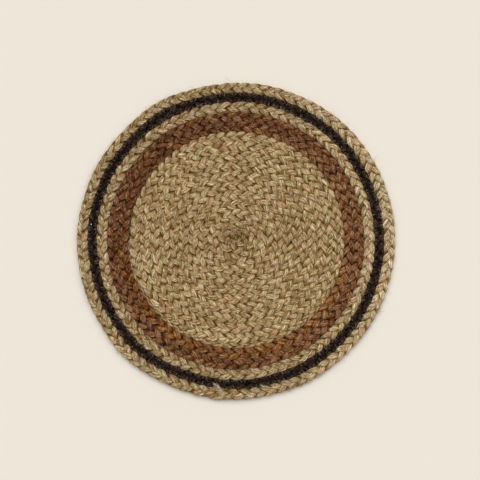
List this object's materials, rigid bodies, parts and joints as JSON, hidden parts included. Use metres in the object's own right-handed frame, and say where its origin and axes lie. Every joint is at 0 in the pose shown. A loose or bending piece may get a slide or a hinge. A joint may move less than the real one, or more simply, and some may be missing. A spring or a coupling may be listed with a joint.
{
  "type": "braided chair pad",
  "caption": "Round flat chair seat pad of braided jute, coiled edge to edge and sewn along every seam, natural field with brown and black bands.",
  "frame": {"origin": "under the middle of the pad, on the surface it rests on", "axes": "+Z out of the sitting face; +Y towards the top of the pad as it is shown standing, +X to its right; the braid winds outward clockwise seen from +Z"},
  "size_m": [0.3798, 0.3798, 0.0075],
  "materials": {
    "natural_jute": "dry matt bast fibre, undyed, with greenish and pinkish leaves",
    "brown_jute": "dry matt bast fibre, dyed brown",
    "black_jute": "dry matt fuzzy bast fibre, dyed black",
    "seam_thread": "spun sewing thread, undyed"
  },
  "bodies": {
    "root": {"field_strand_a": "natural_jute", "field_strand_b": "natural_jute", "field_strand_c": "natural_jute", "field_needle_thread": "seam_thread", "field_bobbin_thread": "seam_thread", "brown_band_strand_a": "brown_jute", "brown_band_strand_b": "brown_jute", "brown_band_strand_c": "brown_jute", "brown_band_needle_thread": "seam_thread", "brown_band_bobbin_thread": "seam_thread", "inner_border_strand_a": "natural_jute", "inner_border_strand_b": "natural_jute", "inner_border_strand_c": "natural_jute", "inner_border_needle_thread": "seam_thread", "inner_border_bobbin_thread": "seam_thread", "black_band_strand_a": "black_jute", "black_band_strand_b": "black_jute", "black_band_strand_c": "black_jute", "black_band_needle_thread": "seam_thread", "black_band_bobbin_thread": "seam_thread", "outer_edge_strand_a": "natural_jute", "outer_edge_strand_b": "natural_jute", "outer_edge_strand_c": "natural_jute", "outer_edge_needle_thread": "seam_thread", "outer_edge_bobbin_thread": "seam_thread"}
  },
  "joints": []
}
